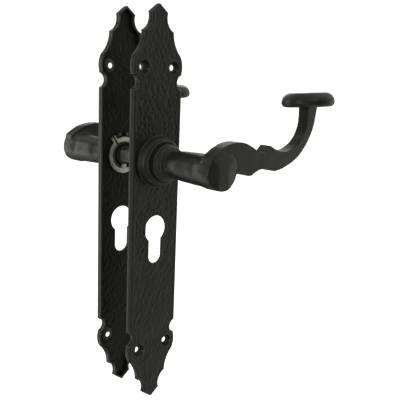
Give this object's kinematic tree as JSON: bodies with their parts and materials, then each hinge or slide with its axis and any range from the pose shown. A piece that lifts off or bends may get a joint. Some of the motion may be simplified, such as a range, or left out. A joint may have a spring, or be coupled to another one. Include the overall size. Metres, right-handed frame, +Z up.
{
  "type": "door lever handle",
  "caption": "Door lever handle set: long ornamental backplates with a profile cylinder cut-out, and curled levers ending in round buttons, turning on a square spindle.",
  "frame": {"origin": "on the spindle's axis, midway between the two backplates, which is the middle of the door's thickness", "axes": "+Z up, +X the way the levers point, -Y out of the front of the door; the spindle lies along Y"},
  "size_m": [0.1338, 0.1844, 0.2772],
  "materials": {
    "plate_black": "hammered sheet steel, satin black paint",
    "cast_black": "forged look, satin black paint",
    "zinc_plate": "bright zinc plate",
    "plain_steel": "drawn, dull",
    "spring_steel": "drawn wire, dull",
    "dark_steel": "blackened",
    "bush_bronze": "plain",
    "nylon": "matt"
  },
  "bodies": {
    "plates": {"front_backplate": "plate_black", "front_collar": "cast_black", "front_guide_bush": "bush_bronze", "front_thrust_washer": "nylon", "front_stop_peg": "plain_steel", "front_anchor_peg": "plain_steel", "front_return_spring": "spring_steel", "rear_backplate": "plate_black", "rear_collar": "cast_black", "rear_guide_bush": "bush_bronze", "rear_thrust_washer": "nylon", "rear_stop_peg": "plain_steel", "rear_anchor_peg": "plain_steel", "rear_return_spring": "spring_steel"},
    "levers": {"front_lever": "cast_black", "front_end_disc": "cast_black", "front_stop_ring": "zinc_plate", "front_grub_screw": "dark_steel", "rear_lever": "cast_black", "rear_end_disc": "cast_black", "rear_stop_ring": "zinc_plate", "rear_grub_screw": "dark_steel", "spindle": "plain_steel"}
  },
  "joints": [
    {"name": "lever_turn", "type": "hinge", "parent": "plates", "child": "levers", "pos_m": [0, 0, 0], "axis": [0, 1, 0], "range_deg": [0, 32], "stiffness_Nm_per_rad": 0.6, "springref_deg": -51.57, "deforming": ["front_return_spring", "rear_return_spring"]}
  ]
}
